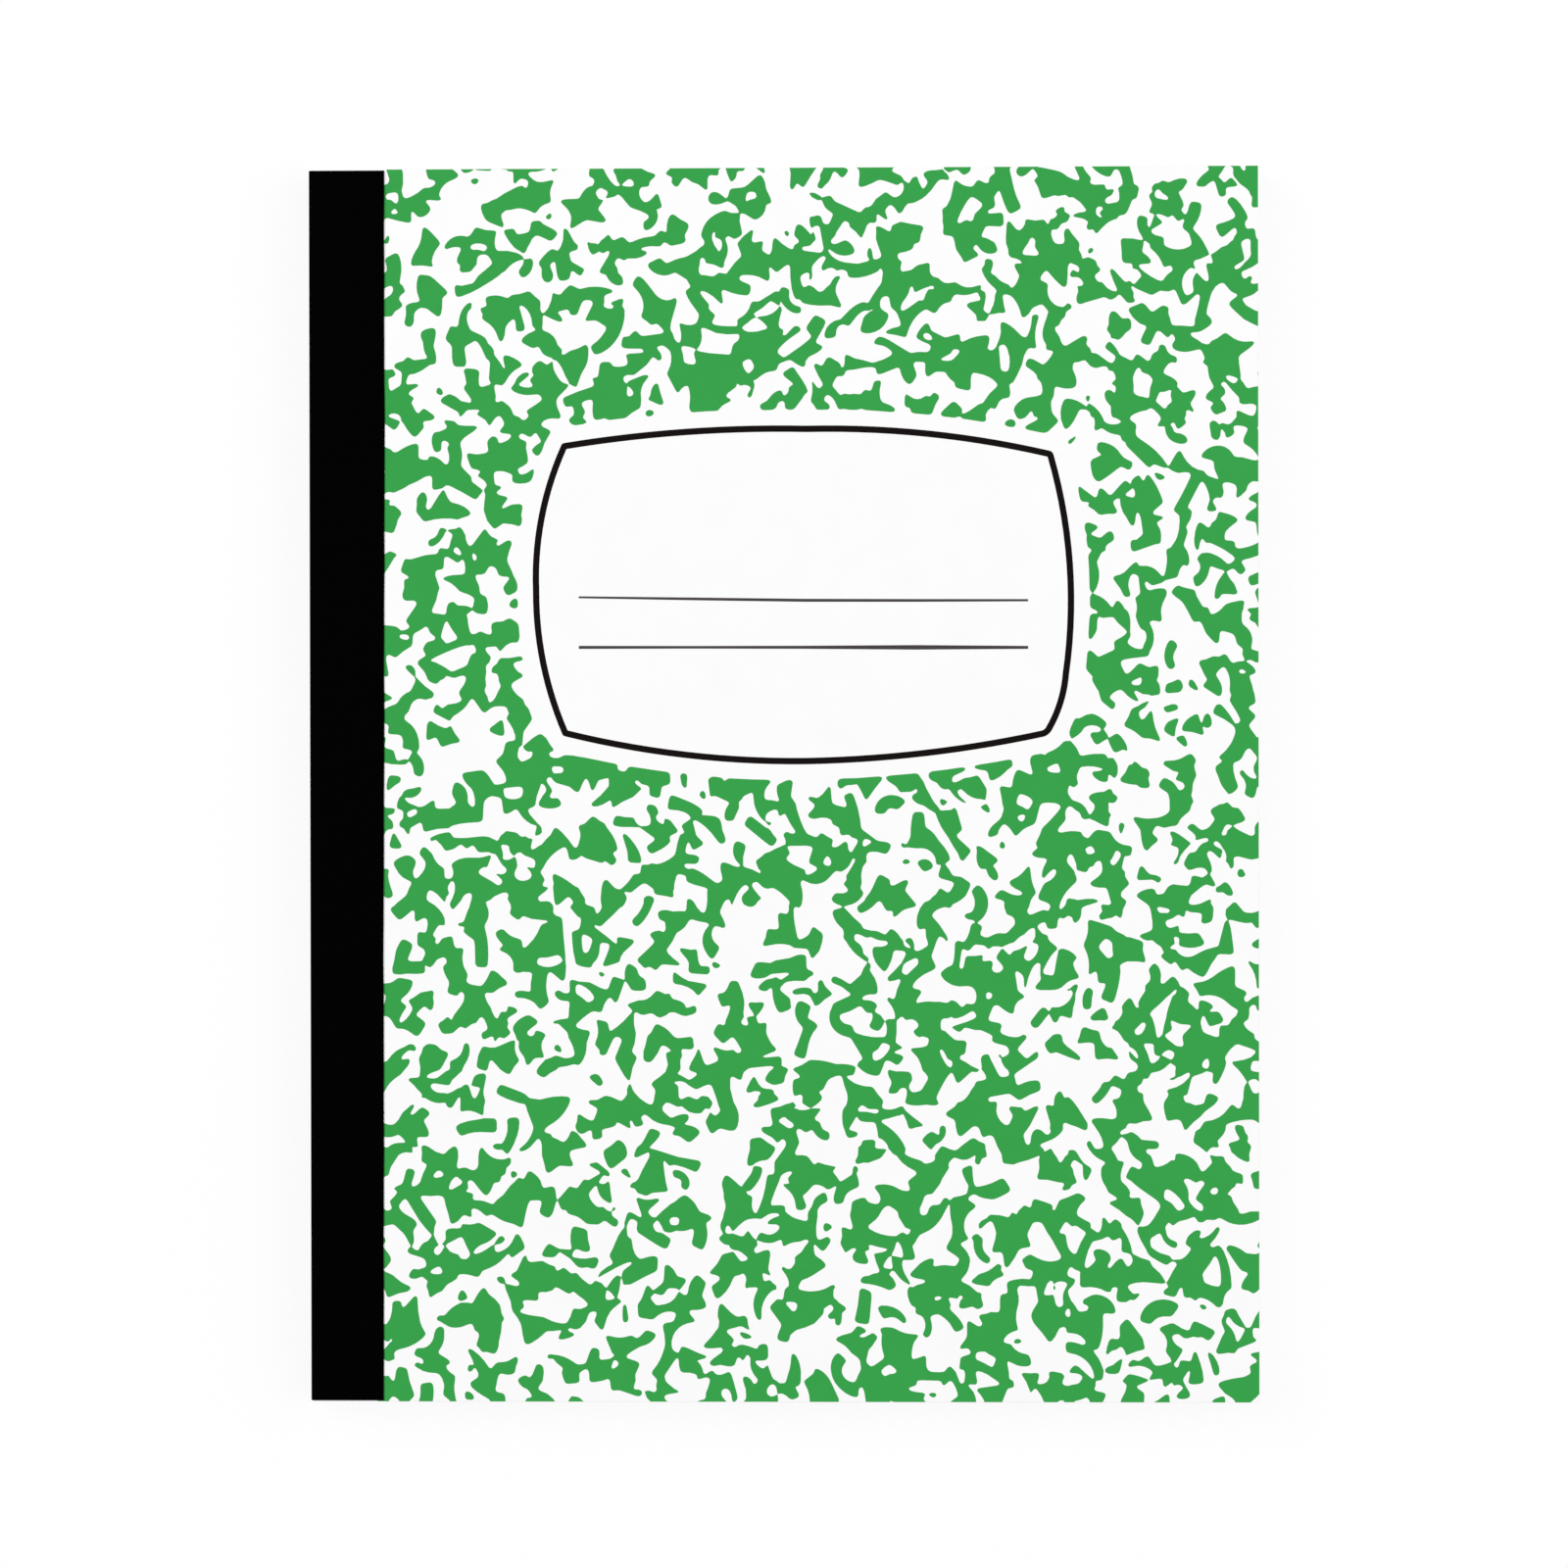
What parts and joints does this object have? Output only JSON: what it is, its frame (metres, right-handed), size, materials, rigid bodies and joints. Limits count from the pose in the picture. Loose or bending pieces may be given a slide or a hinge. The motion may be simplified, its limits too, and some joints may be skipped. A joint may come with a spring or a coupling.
{
  "type": "composition notebook",
  "caption": "Closed composition notebook: two stiff marbled boards on a sewn block of leaves, with a black tape folded round the spine and covers that open flat.",
  "frame": {"origin": "middle of the underside of the rear cover, with the notebook closed", "axes": "+X from the spine to the fore-edge, +Y from the tail to the head, +Z out of the front cover"},
  "size_m": [0.19, 0.247, 0.0107],
  "materials": {
    "marbled_board": "satin",
    "writing_paper": "matte",
    "black_tape": "satin",
    "white_thread": "matte"
  },
  "bodies": {
    "book_block": {"page_block": "writing_paper", "binding_thread": "white_thread", "spine_tape": "black_tape"},
    "front_board": {"front_cover": "marbled_board"},
    "rear_board": {"rear_cover": "marbled_board"}
  },
  "joints": [
    {"name": "front_hinge", "type": "hinge", "parent": "book_block", "child": "front_board", "pos_m": [-0.095, 0, 0.0096], "axis": [0, -1, 0], "range_deg": [0, 180], "deforming": ["spine_tape"]},
    {"name": "rear_hinge", "type": "hinge", "parent": "book_block", "child": "rear_board", "pos_m": [-0.095, 0, 0.0011], "axis": [0, 1, 0], "range_deg": [0, 180], "deforming": ["spine_tape"]}
  ]
}
